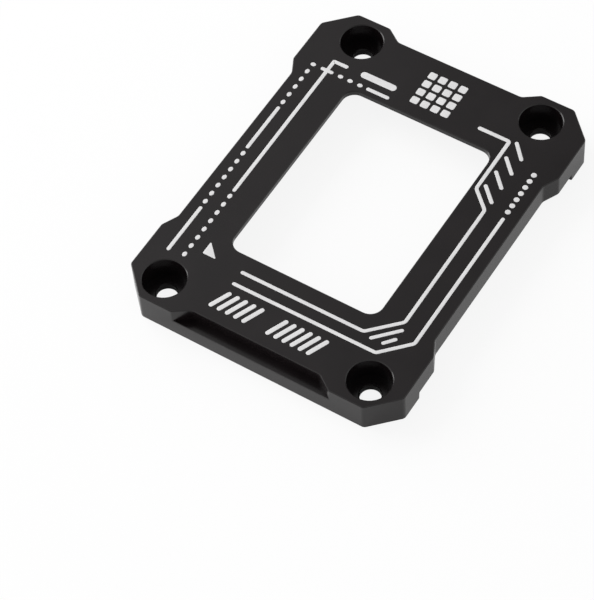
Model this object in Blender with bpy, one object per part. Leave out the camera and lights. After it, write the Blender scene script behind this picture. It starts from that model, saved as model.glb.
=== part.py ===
import math

import bmesh
import bpy
from mathutils import Matrix, Vector

# A retention frame for a processor socket: one block of aluminium, milled and black anodised.
# It stands on its two end bars. X runs across the frame, +Y to the end whose screws sit closer
# together, and the origin is the centre of the footprint, at the height of the board.

MM = 0.001

# The processor package under the frame, and how far the clamping lip reaches over it
PACKAGE_WIDTH = 37.5 * MM
PACKAGE_LENGTH = 45.0 * MM
PACKAGE_CLEARANCE = 0.45 * MM
PACKAGE_SHIFT_Y = 0.45 * MM
LIP_OVER_SIDES = 4.15 * MM
LIP_OVER_ENDS = 2.8 * MM

# Widths of metal in plan, from the package's pocket outwards
SIDE_BEAM = 6.1 * MM
END_LEDGE = 2.75 * MM
END_BAR = 9.6 * MM
SIDE_RECESS = 1.5 * MM
END_RECESS = 2.0 * MM

# Heights
FRAME_HEIGHT = 6.0 * MM
LIP_THICKNESS = 1.0 * MM
SIDE_RELIEF = 1.55 * MM
SCREW_SEAT = 1.6 * MM
NOTCH_DEPTH = 2.65 * MM

# The ears: their runs along the sides and the ends, their corner cuts and their flanks
EAR_ALONG_SIDE = 14.3 * MM
EAR_ALONG_END = 11.4 * MM
CORNER_CUT = 4.9 * MM
FLANK_RUN = 2.9 * MM

# The screws: distance of each axis from the frame's side and end, and the hole's sizes
FRONT_SCREW_INSET = 6.7 * MM
BACK_SCREW_INSET = 8.65 * MM
END_SCREW_INSET = 5.15 * MM
SCREW_HOLE_DIAMETER = 3.7 * MM
SCREW_HEAD_DIAMETER = 7.7 * MM
HOLE_CHAMFER = 0.2 * MM

# Radii in plan, and the broken edges
EAR_RADIUS = 1.1 * MM
NECK_RADIUS = 1.6 * MM
WINDOW_RADIUS = 2.4 * MM
POCKET_RADIUS = 1.6 * MM
EDGE_BREAK = 0.15 * MM

# How finely curves are divided, and how far a cutter runs past the metal
ARC_STEP = math.radians(10)
HOLE_SIDES = 40
OVERRUN = 2.0 * MM
SHARP_ANGLE = math.radians(32)

POCKET_HALF_X = PACKAGE_WIDTH / 2 + PACKAGE_CLEARANCE
POCKET_HALF_Y = PACKAGE_LENGTH / 2 + PACKAGE_CLEARANCE
WINDOW_HALF_X = PACKAGE_WIDTH / 2 - LIP_OVER_SIDES
WINDOW_HALF_Y = PACKAGE_LENGTH / 2 - LIP_OVER_ENDS
HALF_WIDTH = POCKET_HALF_X + SIDE_BEAM + SIDE_RECESS
HALF_LENGTH = POCKET_HALF_Y + END_LEDGE + END_BAR


def clear_scene():
    for obj in list(bpy.data.objects):
        bpy.data.objects.remove(obj, do_unlink=True)
    for mesh in list(bpy.data.meshes):
        bpy.data.meshes.remove(mesh)


# Black anodised aluminium with a fine satin grain
def anodised_material():
    material = bpy.data.materials.new("black_anodised")
    material.use_nodes = True
    shader = material.node_tree.nodes["Principled BSDF"]
    shader.inputs["Base Color"].default_value = (0.030, 0.029, 0.028, 1.0)
    shader.inputs["Metallic"].default_value = 0.55
    shader.inputs["Roughness"].default_value = 0.42
    return material


# The points of one rounded corner: an arc that touches both sides of the corner
def corner_arc(before, corner, after, radius):
    back = (before - corner).normalized()
    ahead = (after - corner).normalized()
    opening = back.angle(ahead)
    turn = math.pi - opening
    reach = radius / math.tan(opening / 2)
    middle = corner + (back + ahead).normalized() * (radius / math.sin(opening / 2))
    start = corner + back * reach - middle
    steps = max(2, math.ceil(turn / ARC_STEP))
    side = 1 if back.x * ahead.y - back.y * ahead.x < 0 else -1
    return [middle + Matrix.Rotation(side * turn * k / steps, 2) @ start for k in range(steps + 1)]


# A closed outline from its corners, each given as x, y and radius
def rounded_outline(corners):
    places = [Vector((x, y)) for x, y, radius in corners]
    points = []
    for k, (x, y, radius) in enumerate(corners):
        before = places[k - 1]
        after = places[(k + 1) % len(places)]
        points += corner_arc(before, places[k], after, radius) if radius else [places[k]]
    return points


def rectangle(half_x, half_y, centre_y, radius):
    signs = ((-1, -1), (1, -1), (1, 1), (-1, 1))
    return [(sx * half_x, centre_y + sy * half_y, radius) for sx, sy in signs]


# A bmesh holding one upright prism over an outline
def prism(points, bottom, top):
    shape = bmesh.new()
    face = shape.faces.new([shape.verts.new((p.x, p.y, bottom)) for p in points])
    raised = bmesh.ops.extrude_face_region(shape, geom=[face])
    upper = [item for item in raised["geom"] if isinstance(item, bmesh.types.BMVert)]
    bmesh.ops.translate(shape, verts=upper, vec=(0, 0, top - bottom))
    bmesh.ops.recalc_face_normals(shape, faces=shape.faces)
    return shape


def add_object(name, shape):
    mesh = bpy.data.meshes.new(name)
    shape.to_mesh(mesh)
    shape.free()
    obj = bpy.data.objects.new(name, mesh)
    bpy.context.scene.collection.objects.link(obj)
    return obj


def add_cutter(name, shape):
    cutter = add_object(name, shape)
    cutter.hide_render = True
    cutter.display_type = "WIRE"
    return cutter


# Plan of the block: four ears with cut corners, a shallow recess along each side and along the
# back, and a straight front that the notch opens later. The right half is mirrored to the left.
def block_outline():
    side = HALF_WIDTH - SIDE_RECESS
    ear_y = HALF_LENGTH - EAR_ALONG_SIDE
    ear_x = HALF_WIDTH - EAR_ALONG_END
    right = [
        (HALF_WIDTH - CORNER_CUT, -HALF_LENGTH, EAR_RADIUS),
        (HALF_WIDTH, -HALF_LENGTH + CORNER_CUT, EAR_RADIUS),
        (HALF_WIDTH, -ear_y, EAR_RADIUS),
        (side, -ear_y + FLANK_RUN, NECK_RADIUS),
        (side, ear_y - FLANK_RUN, NECK_RADIUS),
        (HALF_WIDTH, ear_y, EAR_RADIUS),
        (HALF_WIDTH, HALF_LENGTH - CORNER_CUT, EAR_RADIUS),
        (HALF_WIDTH - CORNER_CUT, HALF_LENGTH, EAR_RADIUS),
        (ear_x, HALF_LENGTH, EAR_RADIUS),
        (ear_x - FLANK_RUN, HALF_LENGTH - END_RECESS, NECK_RADIUS),
    ]
    left = [(-x, y, radius) for x, y, radius in reversed(right)]
    return rounded_outline(right + left)


# The opening over the heat spreader, right through the lip
def window_cutter():
    corners = rectangle(WINDOW_HALF_X, WINDOW_HALF_Y, PACKAGE_SHIFT_Y, WINDOW_RADIUS)
    return add_cutter("window_cutter", prism(rounded_outline(corners), -OVERRUN, FRAME_HEIGHT + OVERRUN))


# The room for the package under the lip
def pocket_cutter():
    corners = rectangle(POCKET_HALF_X, POCKET_HALF_Y, PACKAGE_SHIFT_Y, POCKET_RADIUS)
    return add_cutter("pocket_cutter", prism(rounded_outline(corners), -OVERRUN, FRAME_HEIGHT - LIP_THICKNESS))


# The passage across the underside that lifts the side beams off the board
def relief_cutter():
    corners = rectangle(HALF_WIDTH + OVERRUN, HALF_LENGTH - END_BAR, 0, 0)
    return add_cutter("relief_cutter", prism(rounded_outline(corners), -OVERRUN, SIDE_RELIEF))


# The shallow notch in the front: its plan is the recess between two flanks, and its floor is flat
def notch_cutter():
    ear_x = HALF_WIDTH - EAR_ALONG_END
    flank = Vector((FLANK_RUN, -END_RECESS))
    outside = Vector((ear_x, -HALF_LENGTH)) + flank * (OVERRUN / END_RECESS)
    right = [
        (outside.x, outside.y, 0),
        (ear_x - FLANK_RUN, -HALF_LENGTH + END_RECESS, NECK_RADIUS),
    ]
    left = [(-x, y, radius) for x, y, radius in reversed(right)]
    return add_cutter(
        "notch_cutter", prism(rounded_outline(right + left), FRAME_HEIGHT - NOTCH_DEPTH, FRAME_HEIGHT + OVERRUN)
    )


# One screw hole, turned about its axis: a chamfered hole up to the seat, then the wide bore that
# takes the screw's head
def screw_cutter(name, x, y):
    hole = SCREW_HOLE_DIAMETER / 2
    head = SCREW_HEAD_DIAMETER / 2
    profile = [
        (0, -OVERRUN),
        (hole + HOLE_CHAMFER + OVERRUN, -OVERRUN),
        (hole, HOLE_CHAMFER),
        (hole, SCREW_SEAT),
        (head, SCREW_SEAT),
        (head, FRAME_HEIGHT + OVERRUN),
        (0, FRAME_HEIGHT + OVERRUN),
    ]
    shape = bmesh.new()
    verts = [shape.verts.new((x + radius, y, z)) for radius, z in profile]
    edges = [shape.edges.new(pair) for pair in zip(verts, verts[1:])]
    bmesh.ops.spin(
        shape, geom=verts + edges, cent=(x, y, 0), axis=(0, 0, 1), angle=math.tau, steps=HOLE_SIDES
    )
    bmesh.ops.remove_doubles(shape, verts=shape.verts, dist=EDGE_BREAK / 20)
    bmesh.ops.recalc_face_normals(shape, faces=shape.faces)
    return add_cutter(name, shape)


def screw_places():
    y = HALF_LENGTH - END_SCREW_INSET
    front = HALF_WIDTH - FRONT_SCREW_INSET
    back = HALF_WIDTH - BACK_SCREW_INSET
    return {
        "front_left": (-front, -y),
        "front_right": (front, -y),
        "back_left": (-back, y),
        "back_right": (back, y),
    }


def cut(obj, cutter):
    modifier = obj.modifiers.new(cutter.name, "BOOLEAN")
    modifier.operation = "DIFFERENCE"
    modifier.solver = "EXACT"
    modifier.object = cutter


# An outward edge that is broken: it turns sharply, and neither of its faces looks down at the board
def is_broken(edge):
    looks_down = any(face.normal.z < -math.cos(SHARP_ANGLE) for face in edge.link_faces)
    return edge.is_manifold and edge.calc_face_angle_signed() > SHARP_ANGLE and not looks_down


# Takes the milled shape as it stands after its cuts and breaks its outward edges by a narrow flat,
# as on a part that is deburred before it is anodised. The edges of the underside stay sharp.
def break_edges(obj):
    depsgraph = bpy.context.evaluated_depsgraph_get()
    shape = bmesh.new()
    shape.from_object(obj, depsgraph)
    bmesh.ops.remove_doubles(shape, verts=shape.verts, dist=EDGE_BREAK / 40)
    bmesh.ops.dissolve_limit(
        shape, angle_limit=math.radians(0.5), verts=shape.verts, edges=shape.edges
    )
    bmesh.ops.bevel(
        shape,
        geom=[edge for edge in shape.edges if is_broken(edge)],
        offset=EDGE_BREAK,
        offset_type="OFFSET",
        segments=1,
        profile=0.5,
        affect="EDGES",
        clamp_overlap=True,
    )
    bmesh.ops.triangulate(shape, faces=[face for face in shape.faces if len(face.verts) > 4])
    obj.modifiers.clear()
    shape.to_mesh(obj.data)
    shape.free()


def build_frame():
    frame = add_object("retention_frame", prism(block_outline(), 0, FRAME_HEIGHT))
    cutters = [window_cutter(), pocket_cutter(), relief_cutter(), notch_cutter()]
    for name, (x, y) in screw_places().items():
        cutters.append(screw_cutter(name + "_screw_cutter", x, y))
    for cutter in cutters:
        cut(frame, cutter)
    break_edges(frame)
    for cutter in cutters:
        bpy.data.objects.remove(cutter, do_unlink=True)
    frame.data.materials.append(anodised_material())
    frame.data.shade_smooth()
    frame.data.set_sharp_from_angle(angle=SHARP_ANGLE)
    return frame


clear_scene()
build_frame()
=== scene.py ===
import math

import bmesh
import bpy
import numpy as np
from mathutils import Euler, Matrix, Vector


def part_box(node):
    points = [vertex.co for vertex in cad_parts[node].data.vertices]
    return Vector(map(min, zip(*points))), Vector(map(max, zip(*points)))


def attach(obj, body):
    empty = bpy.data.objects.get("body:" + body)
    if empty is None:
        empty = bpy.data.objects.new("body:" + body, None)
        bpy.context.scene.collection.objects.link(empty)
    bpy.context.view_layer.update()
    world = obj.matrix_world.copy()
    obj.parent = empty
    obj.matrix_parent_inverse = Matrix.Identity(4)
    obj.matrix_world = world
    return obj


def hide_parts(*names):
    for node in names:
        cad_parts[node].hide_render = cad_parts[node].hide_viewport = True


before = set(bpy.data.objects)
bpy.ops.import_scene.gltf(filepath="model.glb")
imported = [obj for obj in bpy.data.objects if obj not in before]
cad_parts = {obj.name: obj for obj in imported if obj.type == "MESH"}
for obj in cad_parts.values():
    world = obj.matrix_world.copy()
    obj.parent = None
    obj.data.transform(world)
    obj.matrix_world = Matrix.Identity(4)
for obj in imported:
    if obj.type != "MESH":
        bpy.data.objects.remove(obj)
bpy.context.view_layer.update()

# A black anodised retention frame for a processor socket, lying on a pale studio floor.
# The lengths of the frame, its finishes and its marks are in millimetres, and those of the studio
# and the camera in metres. X runs across the frame and +Y to its back end. The board that the
# frame stands on is at height 0.

mm = 0.001
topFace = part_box("retention_frame")[1].z / mm
print("frame loaded, top face at", round(topFace, 3), "mm")


def ovalLoop(centre, across, along, steps=28):
    # an ellipse: the centre plus half its width times cosine and half its length times sine
    angle = np.linspace(0, math.tau, steps, endpoint=False)
    loop = np.column_stack([across / 2 * np.cos(angle), along / 2 * np.sin(angle)]) + centre
    return loop, np.tile(np.asarray(centre, float), (steps, 1))


def strokeLoop(path, width, steps=10):
    # both sides of a centre line, half the width away along its mitred normals, joined round
    # each end by a half circle; the width is one value, or one for each point of the line, and
    # the second array holds the centre-line point each one came from
    path = np.asarray(path, float)
    ahead = np.diff(path, axis=0)
    ahead /= np.linalg.norm(ahead, axis=1, keepdims=True)
    normal = np.column_stack([-ahead[:, 1], ahead[:, 0]])
    before = np.vstack([normal[:1], normal])
    after = np.vstack([normal, normal[-1:]])
    mitre = (before + after) / (1 + np.sum(before * after, axis=1, keepdims=True))
    half = np.broadcast_to(np.asarray(width, float) / 2, len(path))[:, None]
    angle = np.linspace(math.pi / 2, -math.pi / 2, steps + 2)[1:-1, None]
    farEnd = path[-1] + half[-1] * (np.cos(angle) * ahead[-1] + np.sin(angle) * normal[-1])
    nearEnd = path[0] - half[0] * (np.cos(angle) * ahead[0] + np.sin(angle) * normal[0])
    loop = np.vstack([path + mitre * half, farEnd, (path - mitre * half)[::-1], nearEnd])
    farMiddle, nearMiddle = np.tile(path[-1], (steps, 1)), np.tile(path[0], (steps, 1))
    spine = np.vstack([path, farMiddle, path[::-1], nearMiddle])
    return loop, spine


def eased(path, widths, reach, steps=5):
    # the same centre line with its corners rounded: each becomes a curve that leaves the line the
    # reach before the corner, meets it the reach behind, and is pulled towards the corner itself
    rows = np.column_stack([np.asarray(path, float), np.broadcast_to(widths, len(path))])
    before, corner, after = rows[:-2], rows[1:-1], rows[2:]
    back = (before - corner) / np.linalg.norm((before - corner)[:, :2], axis=1, keepdims=True)
    ahead = (after - corner) / np.linalg.norm((after - corner)[:, :2], axis=1, keepdims=True)
    share = np.linspace(0, 1, steps)[None, :, None]
    leave, meet = (corner + back * reach)[:, None], (corner + ahead * reach)[:, None]
    curve = (1 - share) ** 2 * leave + 2 * share * (1 - share) * corner[:, None] + share ** 2 * meet
    rows = np.vstack([rows[:1], curve.reshape(-1, 3), rows[-1:]])
    return rows[:, :2], rows[:, 2]


def cornerLoop(corners, radius, steps=5):
    # a convex outline whose corners are arcs: each arc's centre lies on the corner's bisector,
    # at the radius over the sine of half the opening, and its points sweep from side to side
    corners = np.asarray(corners, float)
    back = np.roll(corners, 1, axis=0) - corners
    ahead = np.roll(corners, -1, axis=0) - corners
    back /= np.linalg.norm(back, axis=1, keepdims=True)
    ahead /= np.linalg.norm(ahead, axis=1, keepdims=True)
    halfOpening = np.arccos(np.clip(np.sum(back * ahead, axis=1), -1, 1)) / 2
    bisector = back + ahead
    bisector /= np.linalg.norm(bisector, axis=1, keepdims=True)
    centre = corners + bisector * (radius / np.sin(halfOpening))[:, None]
    touch = corners + back * (radius / np.tan(halfOpening))[:, None]
    start = np.arctan2(*(touch - centre).T[::-1])
    side = np.sign(ahead[:, 0] * back[:, 1] - ahead[:, 1] * back[:, 0])
    sweep = (math.pi - 2 * halfOpening) * side
    angle = start[:, None] + sweep[:, None] * np.linspace(0, 1, steps)
    arc = np.stack([np.cos(angle), np.sin(angle)], axis=-1) * radius
    loop = (centre[:, None] + arc).reshape(-1, 2)
    return loop, np.tile(corners.mean(0), (len(loop), 1))


# The laser lifts the surface by a hundredth of a millimetre or so, and the rim falls away softly.
markSkin = {
    "share": [0, 0.7, 0.9, 1, 1, 0],    # how far out each row lies, from a mark's middle to its rim
    "height": [0.014, 0.014, 0.011, 0.002, -0.02, -0.02],  # and how high over the top face
    "weld": 0.00001,        # points closer than this become one
    "smoothAngle": 60.0,    # a sharper turn than this stays a crease, in degrees
}


def slab(loop, spine, lift=0.0):
    # a thin closed form on the top face: every row of the grid lies a share of the way from the
    # centre line to the outline, at that row's height, and the last row closes the underside;
    # the lift keeps two forms that cross from lying at the same height
    share = np.array(markSkin["share"])[:, None, None]
    flat = spine + share * (loop - spine)
    height = np.array(markSkin["height"]) + topFace + lift
    rise = np.broadcast_to(height[:, None, None], flat.shape[:2] + (1,))
    points = np.concatenate([flat, rise], axis=-1).reshape(-1, 3)
    rows, columns = flat.shape[:2]
    row, column = np.meshgrid(np.arange(rows - 1), np.arange(columns), indexing="ij")
    beside = (column + 1) % columns
    faces = np.stack(
        [row * columns + column, row * columns + beside,
         (row + 1) * columns + beside, (row + 1) * columns + column], axis=-1
    ).reshape(-1, 4)
    return points, faces


def joined(parts):
    # several surfaces as one: their points in a row, each one's faces counted on from the last
    counts = np.cumsum([0] + [len(points) for points, faces in parts])
    points = np.vstack([points for points, faces in parts])
    faces = np.vstack([faces + start for (points, faces), start in zip(parts, counts)])
    return points, faces


def weld(mesh, distance, turnOutwards=False):
    # points that lie closer together than the distance become one, and the faces turn outwards
    # where that is asked for
    shape = bmesh.new()
    shape.from_mesh(mesh)
    bmesh.ops.remove_doubles(shape, verts=shape.verts, dist=distance * mm)
    if turnOutwards:
        bmesh.ops.recalc_face_normals(shape, faces=shape.faces)
    shape.to_mesh(mesh)
    shape.free()


def addObject(name, data):
    made = bpy.data.objects.new(name, data)
    bpy.context.scene.collection.objects.link(made)
    return made


def addPiece(name, parts, material):
    # the parts as one piece that rides on the frame, welded where their middle rows close
    points, faces = joined(parts)
    mesh = bpy.data.meshes.new(name)
    mesh.from_pydata((points * mm).tolist(), [], faces.tolist())
    weld(mesh, markSkin["weld"], turnOutwards=True)
    mesh.shade_smooth()
    mesh.set_sharp_from_angle(angle=math.radians(markSkin["smoothAngle"]))
    mesh.materials.append(material)
    piece = addObject(name, mesh)
    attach(piece, "root")
    return piece


def newGroup(name, inputs, outputs):
    # an empty node group with its named sockets, and the nodes that hold them inside it
    group = bpy.data.node_groups.new(name, "ShaderNodeTree")
    for label, kind, value in inputs:
        socket = group.interface.new_socket(label, in_out="INPUT", socket_type=kind)
        if value is not None:
            socket.default_value = value
    for label, kind in outputs:
        group.interface.new_socket(label, in_out="OUTPUT", socket_type=kind)
    return group, group.nodes.new("NodeGroupInput"), group.nodes.new("NodeGroupOutput")


def addNode(tree, kind, values=None, **settings):
    # a node whose inputs are linked where the value is another node's output, and set elsewhere
    node = tree.nodes.new(kind)
    for key, value in settings.items():
        setattr(node, key, value)
    for key, value in (values or {}).items():
        if isinstance(value, bpy.types.NodeSocket):
            tree.links.new(value, node.inputs[key])
        else:
            node.inputs[key].default_value = value
    return node


def maths(tree, operation, *values, clamp=False):
    values = dict(enumerate(values))
    return addNode(tree, "ShaderNodeMath", values, operation=operation, use_clamp=clamp).outputs[0]


def colourMix(tree, share, first, second):
    # the first colour where the share is 0 and the second where it is 1; a mix node takes its
    # colours at its inputs 6 and 7
    return addNode(tree, "ShaderNodeMix", {0: share, 6: first, 7: second},
                   data_type="RGBA").outputs[2]


def ranged(tree, value, low, high, fromLow=0.3, fromHigh=0.7):
    # a straight run from the low result to the high one, over the stretch that a noise fills
    return addNode(tree, "ShaderNodeMapRange",
                   {"Value": value, "From Min": fromLow, "From Max": fromHigh,
                    "To Min": low, "To Max": high}).outputs["Result"]


def softStep(tree, value, low, high, least=0.0):
    # the least below the low value, 1 above the high one, and between them it climbs by 3t squared
    # less 2t cubed of the way
    return addNode(tree, "ShaderNodeMapRange",
                   {"Value": value, "From Min": low, "From Max": high, "To Min": least},
                   interpolation_type="SMOOTHSTEP").outputs["Result"]


def noise(tree, place, scale, detail, roughness):
    return addNode(tree, "ShaderNodeTexNoise",
                   {"Vector": place, "Scale": scale, "Detail": detail,
                    "Roughness": roughness}).outputs["Fac"]


def axes(tree, vector):
    return addNode(tree, "ShaderNodeSeparateXYZ", {"Vector": vector}).outputs


grainValues = {
    "dentShare": 0.6,       # how much of the height comes from the dents
    "fineShare": 0.6,       # and from the fine noise
    "fineScale": 1.7,       # how many of the noise's grains go to one dent
    "fineNoise": (3.0, 0.6),   # detail and roughness
    "slowNoise": (4.0, 0.55),
}


def makeBlastGrain():
    # blasted grain: shallow round dents from a cell pattern, broken up by a finer noise, and a
    # slow drift of tone over the whole surface
    value = grainValues
    group, ins, outs = newGroup(
        "blastedGrain",
        [("Vector", "NodeSocketVector", None), ("Dent Size", "NodeSocketFloat", 0.12),
         ("Drift Size", "NodeSocketFloat", 9.0)],
        [("Height", "NodeSocketFloat"), ("Drift", "NodeSocketFloat"), ("Speck", "NodeSocketFloat")],
    )
    place = ins.outputs["Vector"]
    dentScale = maths(group, "DIVIDE", 1 / mm, ins.outputs["Dent Size"])
    fineScale = maths(group, "MULTIPLY", dentScale, value["fineScale"])
    slowScale = maths(group, "DIVIDE", 1 / mm, ins.outputs["Drift Size"])
    cells = addNode(group, "ShaderNodeTexVoronoi",
                    {"Vector": place, "Scale": dentScale, "Randomness": 1.0}, feature="SMOOTH_F1")
    fine = noise(group, place, fineScale, *value["fineNoise"])
    slow = noise(group, place, slowScale, *value["slowNoise"])
    dents = maths(group, "MULTIPLY", cells.outputs["Distance"], value["dentShare"])
    height = maths(group, "ADD", dents, maths(group, "MULTIPLY", fine, value["fineShare"]))
    group.links.new(height, outs.inputs["Height"])
    group.links.new(slow, outs.inputs["Drift"])
    group.links.new(fine, outs.inputs["Speck"])
    return group


# the broken edges are painted lighter in patches: a painted highlight standing in for lit edge
# lines
edgeHighlightValues = {
    "noise": (5.0, 0.65),       # detail and roughness
    "patches": (0.32, 0.62),    # the noise's values where a patch starts and where it is full
    "between": 0.45,            # how much of the painted edge highlight shows between the patches
}


def makePaintedEdgeHighlight():
    # painted edge highlight: where the edge mask is on, a patchy noise lets some of it through, so
    # the broken edges are painted lighter in patches, as if they caught the light
    value = edgeHighlightValues
    group, ins, outs = newGroup(
        "paintedEdgeHighlight",
        [("Vector", "NodeSocketVector", None), ("Edge", "NodeSocketFloat", 0.0),
         ("Patch Size", "NodeSocketFloat", 2.5), ("Amount", "NodeSocketFloat", 0.5)],
        [("Mask", "NodeSocketFloat")],
    )
    scale = maths(group, "DIVIDE", 1 / mm, ins.outputs["Patch Size"])
    patches = noise(group, ins.outputs["Vector"], scale, *value["noise"])
    spread = softStep(group, patches, *value["patches"], value["between"])
    mask = maths(group, "MULTIPLY", spread, ins.outputs["Edge"])
    mask = maths(group, "MULTIPLY", mask, ins.outputs["Amount"], clamp=True)
    group.links.new(mask, outs.inputs["Mask"])
    return group


blastGrain = makeBlastGrain()
paintedEdgeHighlight = makePaintedEdgeHighlight()


def newMaterial(name):
    # a material with only its shader and its output, and the place on the object to read
    material = bpy.data.materials.new(name)
    material.use_nodes = True
    tree = material.node_tree
    tree.nodes.clear()
    shader = addNode(tree, "ShaderNodeBsdfPrincipled")
    addNode(tree, "ShaderNodeOutputMaterial", {"Surface": shader.outputs["BSDF"]})
    place = addNode(tree, "ShaderNodeTexCoord").outputs["Object"]
    return material, tree, shader, place


def dressShader(tree, shader, look, colour, rough, height):
    # colour and roughness follow their textures, metal and refraction are the same all over, and
    # the normal leans with the slope of the height
    tree.links.new(colour, shader.inputs["Base Color"])
    tree.links.new(rough, shader.inputs["Roughness"])
    shader.inputs["Metallic"].default_value = look["metallic"]
    shader.inputs["IOR"].default_value = look["refraction"]
    bump = addNode(tree, "ShaderNodeBump", {"Height": height, "Strength": look["bumpStrength"],
                                            "Distance": look["bumpDepth"] * mm})
    tree.links.new(bump.outputs["Normal"], shader.inputs["Normal"])


anodised = {
    "deep": (0.0040, 0.0026, 0.0029, 1),   # the dyed oxide where it is densest
    "worn": (0.0070, 0.0048, 0.0053, 1),   # and where it is a little thinner
    "litEdgeColour": (0.030, 0.0285, 0.0285, 1),  # a painted highlight on the broken edges, lighter as if they caught the light
    "driftShare": 0.75,     # how far the slow drift turns the deep colour into the worn one
    "fleckShare": 0.25,     # and how far the fine noise does
    "roughness": (0.20, 0.25),
    "metallic": 0.0,
    "refraction": 1.39,     # a sealed oxide skin over the metal
    "dentSize": 0.11,
    "bumpDepth": 0.0016,
    "bumpStrength": 0.6,
    # how strongly the broken edges are painted lighter, a painted highlight
    "edgeHighlightAmount": 0.35,
}


def makeAnodised():
    # the deep colour turns into the worn one by the drift plus the flecks, and then into the
    # lighter edge colour, a painted highlight, by the mask of the broken edges
    look = anodised
    material, tree, shader, place = newMaterial("blackAnodised")
    grain = addNode(tree, "ShaderNodeGroup", {"Vector": place, "Dent Size": look["dentSize"]},
                    node_tree=blastGrain).outputs
    edge = addNode(tree, "ShaderNodeAttribute", attribute_name="brokenEdge").outputs["Fac"]
    mask = addNode(tree, "ShaderNodeGroup", {"Vector": place, "Edge": edge, "Amount": look["edgeHighlightAmount"]},
                   node_tree=paintedEdgeHighlight).outputs["Mask"]
    tone = ranged(tree, grain["Drift"], 0.0, look["driftShare"])
    fleck = ranged(tree, grain["Speck"], 0.0, look["fleckShare"])
    worn = maths(tree, "ADD", tone, fleck, clamp=True)
    dyed = colourMix(tree, worn, look["deep"], look["worn"])
    colour = colourMix(tree, mask, dyed, look["litEdgeColour"])
    rough = ranged(tree, grain["Drift"], *look["roughness"])
    dressShader(tree, shader, look, colour, rough, grain["Height"])
    return material


etched = {
    "bright": (0.75, 0.745, 0.745, 1),
    "dull": (0.63, 0.625, 0.63, 1),
    "driftShare": 0.6,      # how far the slow drift turns the bright colour into the dull one
    "passShare": 0.3,       # and how far the laser's passes do
    "roughness": (0.46, 0.60),
    "metallic": 0.1,
    "refraction": 1.4,
    "hatchPitch": 0.07,     # distance between the laser's passes
    "hatchTurn": 32.0,      # their angle across the frame, in degrees
    "dentSize": 0.09,
    "driftSize": 3.0,
    "bumpDepth": 0.0022,
    "bumpStrength": 0.5,
}


def makeEtched():
    # the laser's passes are a sine of the distance across them; they and the drift turn the bright
    # colour into the dull one, and the passes plus the grain make the height
    look = etched
    material, tree, shader, place = newMaterial("laserEtched")
    grain = addNode(tree, "ShaderNodeGroup",
                    {"Vector": place, "Dent Size": look["dentSize"],
                     "Drift Size": look["driftSize"]}, node_tree=blastGrain).outputs
    turn = (0, 0, math.radians(look["hatchTurn"]))
    turned = addNode(tree, "ShaderNodeMapping", {"Vector": place, "Rotation": turn})
    across = axes(tree, turned.outputs["Vector"])["X"]
    perPitch = math.tau / (look["hatchPitch"] * mm)
    wave = maths(tree, "SINE", maths(tree, "MULTIPLY", across, perPitch))
    passes = maths(tree, "MULTIPLY_ADD", wave, 0.5, 0.5)  # from 0 to 1
    drift = ranged(tree, grain["Drift"], 0.0, look["driftShare"])
    dull = maths(tree, "ADD", drift, maths(tree, "MULTIPLY", passes, look["passShare"]), clamp=True)
    colour = colourMix(tree, dull, look["bright"], look["dull"])
    rough = ranged(tree, grain["Speck"], *look["roughness"])
    dressShader(tree, shader, look, colour, rough, maths(tree, "ADD", passes, grain["Height"]))
    return material


anodisedBlack = makeAnodised()
etchedSilver = makeEtched()
print("finishes made")


bodyValues = {
    "breakWidth": 0.30,     # a face narrower than this and leaning is a broken edge
    "leaning": (0.25, 0.97),  # how upright the normal of such a face is
    "smoothAngle": 35.0,    # a sharper turn than this stays a crease, in degrees
    "weld": 0.0001,         # points closer than this become one
}


def leaningStrips(mesh):
    # 1 on every narrow triangle whose normal leans: twice its area over its longest side is its
    # width, and its normal's height tells a broken edge from a flat or a wall
    count = len(mesh.polygons)
    corner = np.zeros(count * 3, int)
    mesh.polygons.foreach_get("vertices", corner)
    point = np.zeros(len(mesh.vertices) * 3)
    mesh.vertices.foreach_get("co", point)
    corners = point.reshape(-1, 3)[corner.reshape(-1, 3)]
    sides = np.roll(corners, -1, axis=1) - corners
    longest = np.linalg.norm(sides, axis=2).max(1)
    normal = np.cross(sides[:, 0], sides[:, 1])
    twiceArea = np.linalg.norm(normal, axis=1)
    leastArea, leastLength = 1e-15, 1e-9  # they keep a flattened triangle from dividing by nothing
    upright = np.abs(normal[:, 2]) / np.maximum(twiceArea, leastArea)
    width = twiceArea / np.maximum(longest, leastLength)
    low, high = bodyValues["leaning"]
    return (width < bodyValues["breakWidth"] * mm) & (upright > low) & (upright < high)


def makeBody():
    # a welded copy of the CAD mesh with its creases marked; normals weighted by the size of the
    # faces keep the wide ones flat beside the narrow broken edges
    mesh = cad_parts["retention_frame"].data.copy()
    mesh.name = "milledBody"
    weld(mesh, bodyValues["weld"])
    for attribute in [a for a in mesh.attributes if a.name in ("sharp_face", "custom_normal")]:
        mesh.attributes.remove(attribute)
    mesh.shade_smooth()
    mesh.set_sharp_from_angle(angle=math.radians(bodyValues["smoothAngle"]))
    edge = mesh.attributes.new("brokenEdge", "FLOAT", "FACE")
    edge.data.foreach_set("value", leaningStrips(mesh).astype(np.float32))
    mesh.materials.clear()
    mesh.materials.append(anodisedBlack)
    body = addObject("milledBody", mesh)
    normals = body.modifiers.new("flatFaces", "WEIGHTED_NORMAL")
    normals.keep_sharp = True
    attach(body, "root")
    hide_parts("retention_frame")
    return body


milledBody = makeBody()
print("body made,", len(milledBody.data.polygons), "faces")


def dotColumn(x, ys, across, along):
    return [slab(*ovalLoop((x, y), across, along)) for y in ys]


def dotRow(xs, y, across, along):
    return [slab(*ovalLoop((x, y), along, across)) for x in xs]


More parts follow.
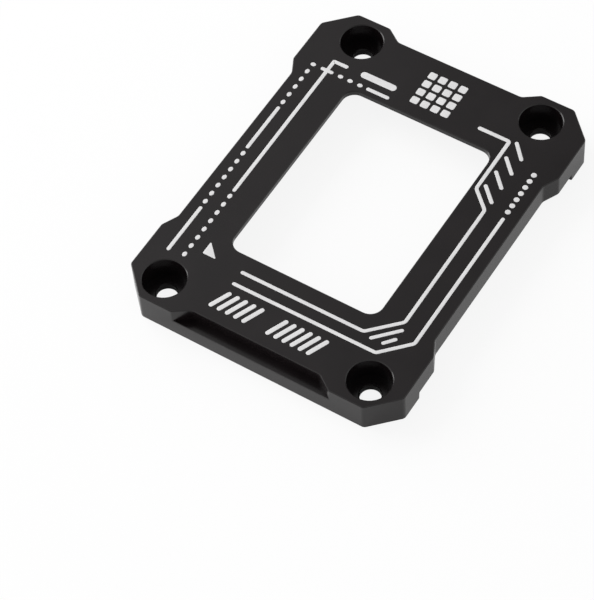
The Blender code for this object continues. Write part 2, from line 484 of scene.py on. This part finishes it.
leftValues = {
    "width": 0.66,
    "inner": [(-17.5, 23.85), (-20.04, 23.85), (-19.92, -8.85)],
    "innerWidth": [0.76, 0.69, 0.66],
    "bend": 0.15,           # how far from a corner its rounding starts
    "innerDots": (-19.9, -10.3, -24.3, 8),  # x, the first and the last y, and how many
    "outerDots": [(-23.0, 19.6, 11.6, 5), (-22.95, -1.4, -13.3, 7)],
    "outerDashes": [(-23.01, 10.05, 0.15), (-22.89, -14.9, -24.75)],
    "dot": (0.78, 1.05),    # across and along the line of dots
}


def makeLeftTraces():
    value = leftValues
    x, high, low, count = value["innerDots"]
    parts = [slab(*strokeLoop(*eased(value["inner"], value["innerWidth"], value["bend"])))]
    parts += dotColumn(x, np.linspace(high, low, count), *value["dot"])
    for x, high, low, count in value["outerDots"]:
        parts += dotColumn(x, np.linspace(high, low, count), *value["dot"])
    for x, high, low in value["outerDashes"]:
        parts.append(slab(*strokeLoop([(x, high), (x, low)], value["width"])))
    return addPiece("leftTraces", parts, etchedSilver)


backValues = {
    "y": 21.45,
    "width": 0.72,
    "dashes": [(-20.95, -19.1), (-11.55, -7.65)],
    "lift": -0.003,         # one dash crosses a line of the left traces, just under it
    "dots": [-22.9, -17.25, -15.27, -13.25],
    "dot": (0.8, 1.0),      # across and along the line of dots
    "pill": (-13.75, -7.95, 23.85, 1.36),  # its ends, its y and its width
}


def makeBackTraces():
    value = backValues
    parts = dotRow(value["dots"], value["y"], *value["dot"])
    for low, high in value["dashes"]:
        dash = [(low, value["y"]), (high, value["y"])]
        parts.append(slab(*strokeLoop(dash, value["width"]), lift=value["lift"]))
    low, high, y, width = value["pill"]
    parts.append(slab(*strokeLoop([(low, y), (high, y)], width)))
    return addPiece("backTraces", parts, etchedSilver)


rightValues = {
    "width": 0.65,
    "inner": [(9.75, 23.65), (15.6, 23.65), (15.65, 12.1), (19.22, 8.8), (19.28, -17.55),
              (14.3, -22.52), (-9.35, -22.62)],
    "innerWidth": [0.76, 0.70, 0.64, 0.64, 0.64, 0.64, 0.67],
    "innerBend": 0.45,      # how far from a corner its rounding starts
    "outer": [(22.8, 8.7), (22.8, -20.4), (18.2, -25.1), (-9.35, -25.26)],
    "outerBend": 0.3,
    "dots": (22.77, 19.4, 10.43, 7),  # x, the first and the last y, and how many
    "dot": (1.0, 1.0),
}


def makeRightTraces():
    value = rightValues
    x, high, low, count = value["dots"]
    parts = [slab(*strokeLoop(*eased(value["inner"], value["innerWidth"], value["innerBend"]))),
             slab(*strokeLoop(*eased(value["outer"], value["width"], value["outerBend"])))]
    parts += dotColumn(x, np.linspace(high, low, count), *value["dot"])
    return addPiece("rightTraces", parts, etchedSilver)


hatchValues = {
    "slantedWidth": 0.68,
    "cornerWidth": 0.65,
    "slanted": [((16.87, 23.92), (19.27, 21.25)), ((16.86, 20.29), (19.34, 17.76)),
                ((16.86, 16.79), (19.34, 14.26)), ((16.8, 13.35), (19.4, 10.8))],
    "corner": [((16.05, -23.0), (19.68, -19.22)), ((18.3, -22.88), (19.68, -21.28))],
}


def makeHatchStrokes():
    value = hatchValues
    parts = [slab(*strokeLoop(stroke, value["slantedWidth"])) for stroke in value["slanted"]]
    parts += [slab(*strokeLoop(stroke, value["cornerWidth"])) for stroke in value["corner"]]
    return addPiece("hatchStrokes", parts, etchedSilver)


triangleValues = {
    "corners": [(-17.4, -19.95), (-17.4, -22.6), (-14.75, -22.6)],
    "radius": 0.12,
}


def makeCornerTriangle():
    loop, middle = cornerLoop(triangleValues["corners"], triangleValues["radius"])
    return addPiece("cornerTriangle", [slab(loop, middle)], etchedSilver)


gridValues = {
    "centre": (-0.15, 26.5),
    "count": 4,
    "pitch": 2.05,
    "pad": 1.5,
    "radius": 0.3,
}


def makePadGrid():
    # rounded squares in rows and columns, one pitch apart and even about the centre
    value = gridValues
    steps = (np.arange(value["count"]) - (value["count"] - 1) / 2) * value["pitch"]
    half, centre = value["pad"] / 2, np.array(value["centre"])
    square = np.array([(-half, -half), (half, -half), (half, half), (-half, half)])
    parts = []
    for x in steps:
        for y in steps:
            parts.append(slab(*cornerLoop(square + (x, y) + centre, value["radius"])))
    return addPiece("padGrid", parts, etchedSilver)


barValues = {
    "width": 0.8,
    "low": -30.7,
    "high": -27.4,
    "lean": 1.5,            # how far a bar's upper end lies to the right of its lower one
    "groups": [(-10.4, -3.9, 5), (0.8, 8.7, 6)],  # the first and the last x, and how many
}


def makeLabelBars():
    value = barValues
    parts = []
    for first, last, count in value["groups"]:
        for x in np.linspace(first, last, count):
            bar = [(x, value["low"]), (x + value["lean"], value["high"])]
            parts.append(slab(*strokeLoop(bar, value["width"])))
    return addPiece("labelBars", parts, etchedSilver)


marks = [makeLeftTraces(), makeBackTraces(), makeRightTraces(), makeHatchStrokes(),
         makeCornerTriangle(), makePadGrid(), makeLabelBars()]
print("marks made,", sum(len(mark.data.polygons) for mark in marks), "faces")


studio = {
    "floorSize": 3.0,
    "floorColour": (0.90, 0.90, 0.90, 1),
    "floorRoughness": 0.9,
    "floorGloss": 0.1,
    "floorDrop": 0.00002,   # it lies this little under the frame's feet
    "floorGlow": 0.88,      # how much of the floor's look is plain white to the camera
    "reflectedGlow": (0.86, 0.42),  # and in a reflection, at the frame's left and right sides
    "glowRun": 0.030,       # from the middle to each of those sides
    # the floor that only shows through the screw holes: half its width, how far out its two
    # strips lie, and half their depth
    "underScrews": (0.0224, 0.03025, 0.00275),
    "skyLight": 1.0,
    "ceilingShade": 0.66,   # how much darker the ceiling's unlit side is than its lit one
    "shadeTowards": (0.95, 0.31, 0),  # the way across the ceiling to its unlit side
    # where the shade starts and where it is full, along that way, towards the front and upwards,
    # on a sky of radius 1
    "shadeAcross": (-0.275, -0.02),
    "shadeFront": (0.05, 0.42),
    "shadeAbove": (0.42, 0.70),
    "keyPlace": (-0.95, 0.05, 0.46),
    "keySize": 1.0,
    "keyPower": 13.0,
}


def underScrews(tree, place):
    # 1 on the two strips of floor under the screws: less than half the width from the middle, and
    # less than half a strip's depth from the middle of the strip
    halfWidth, out, halfDepth = studio["underScrews"]
    axis = axes(tree, place)
    across = maths(tree, "LESS_THAN", maths(tree, "ABSOLUTE", axis["X"]), halfWidth)
    fromStrip = maths(tree, "SUBTRACT", maths(tree, "ABSOLUTE", axis["Y"]), out)
    along = maths(tree, "LESS_THAN", maths(tree, "ABSOLUTE", fromStrip), halfDepth)
    return maths(tree, "MULTIPLY", across, along)


def seenDirectly(tree, reflected):
    # 1 for rays from the camera and for those that pass through a clear body, and the given
    # share for those that a gloss sends on
    path = addNode(tree, "ShaderNodeLightPath").outputs
    clear = maths(tree, "MAXIMUM", path["Is Camera Ray"], path["Is Transmission Ray"])
    return maths(tree, "MAXIMUM", clear, maths(tree, "MULTIPLY", path["Is Glossy Ray"], reflected))


def makeFloorMaterial():
    # matt and pale, with a white glow that only the camera and reflections see: its share falls
    # from the left of the frame to its right in a reflection, and is 0 under the screws
    material, tree, shader, place = newMaterial("paleFloor")
    shader.inputs["Base Color"].default_value = studio["floorColour"]
    shader.inputs["Roughness"].default_value = studio["floorRoughness"]
    shader.inputs["Specular IOR Level"].default_value = studio["floorGloss"]
    glow = addNode(tree, "ShaderNodeEmission", {"Color": (1, 1, 1, 1), "Strength": 1.0})
    left, right = np.array(studio["reflectedGlow"]) / studio["floorGlow"]
    run = studio["glowRun"]
    reflected = ranged(tree, axes(tree, place)["X"], left, right, -run, run)
    openFloor = maths(tree, "SUBTRACT", 1.0, underScrews(tree, place))
    seen = seenDirectly(tree, maths(tree, "MULTIPLY", openFloor, reflected))
    share = maths(tree, "MULTIPLY", seen, studio["floorGlow"])
    lit = addNode(tree, "ShaderNodeMixShader",
                  {0: share, 1: shader.outputs["BSDF"], 2: glow.outputs["Emission"]})
    # from below the floor can be seen through, so that the frame's underside shows
    below = addNode(tree, "ShaderNodeNewGeometry").outputs["Backfacing"]
    clear = addNode(tree, "ShaderNodeBsdfTransparent").outputs["BSDF"]
    mix = addNode(tree, "ShaderNodeMixShader", {0: below, 1: lit.outputs["Shader"], 2: clear})
    tree.links.new(mix.outputs["Shader"], tree.nodes["Material Output"].inputs["Surface"])
    material.cycles.emission_sampling = "NONE"  # the glow is only seen, it lights nothing
    return material


def makeFloor():
    half, height = studio["floorSize"] / 2, -studio["floorDrop"]
    square = ((-half, -half), (half, -half), (half, half), (-half, half))
    mesh = bpy.data.meshes.new("paleFloor")
    mesh.from_pydata([(x, y, height) for x, y in square], [], [(0, 1, 2, 3)])
    mesh.materials.append(makeFloorMaterial())
    floor = addObject("paleFloor", mesh)


def makeSky():
    # white to the camera; to all else it is white near the horizon and over the lit left side, and
    # darker where the ceiling at the right and the front is unlit
    world = bpy.data.worlds.new("softSky")
    bpy.context.scene.world = world
    world.use_nodes = True
    tree = world.node_tree
    tree.nodes.clear()
    direction = addNode(tree, "ShaderNodeTexCoord").outputs["Object"]
    along = addNode(tree, "ShaderNodeVectorMath", {0: direction, 1: studio["shadeTowards"]},
                    operation="DOT_PRODUCT").outputs["Value"]
    axis = axes(tree, direction)
    forwards = maths(tree, "MULTIPLY", axis["Y"], -1.0)
    unlit = maths(tree, "MAXIMUM", softStep(tree, along, *studio["shadeAcross"]),
                  softStep(tree, forwards, *studio["shadeFront"]))
    above = softStep(tree, axis["Z"], *studio["shadeAbove"])
    unseen = maths(tree, "SUBTRACT", 1.0, seenDirectly(tree, 0.0))
    shade = maths(tree, "MULTIPLY", maths(tree, "MULTIPLY", unlit, above), unseen)
    shade = maths(tree, "MULTIPLY", shade, studio["ceilingShade"])
    strength = maths(tree, "MULTIPLY", maths(tree, "SUBTRACT", 1.0, shade), studio["skyLight"])
    sky = addNode(tree, "ShaderNodeBackground", {"Color": (1, 1, 1, 1), "Strength": strength})
    addNode(tree, "ShaderNodeOutputWorld", {"Surface": sky.outputs["Background"]})


def makeKey():
    # one wide square lamp at the left, turned to the middle of the frame
    lamp = bpy.data.lights.new("softKey", "AREA")
    lamp.shape = "SQUARE"
    lamp.size = studio["keySize"]
    lamp.energy = studio["keyPower"]
    key = addObject("softKey", lamp)
    key.location = studio["keyPlace"]
    key.rotation_euler = (-key.location).to_track_quat("-Z", "Y").to_euler()


cameraValues = {
    "place": (0.14921, -0.22233, 0.36637),
    "turn": (34.4556, 2.9727, 32.1812),  # degrees
    "sensor": 36.0,         # its width and the focal length are in millimetres
    "focus": 159.86,
    "clip": (0.01, 20),
}


def makeCamera():
    lens = bpy.data.cameras.new("photoView")
    lens.sensor_fit = "HORIZONTAL"
    lens.sensor_width = cameraValues["sensor"]
    lens.lens = cameraValues["focus"]
    lens.clip_start, lens.clip_end = cameraValues["clip"]
    camera = addObject("photoView", lens)
    camera.location = cameraValues["place"]
    camera.rotation_euler = Euler([math.radians(a) for a in cameraValues["turn"]])
    bpy.context.scene.camera = camera


makeFloor()
makeSky()
makeKey()
makeCamera()
bpy.context.scene.view_settings.view_transform = "Standard"
print("studio made")
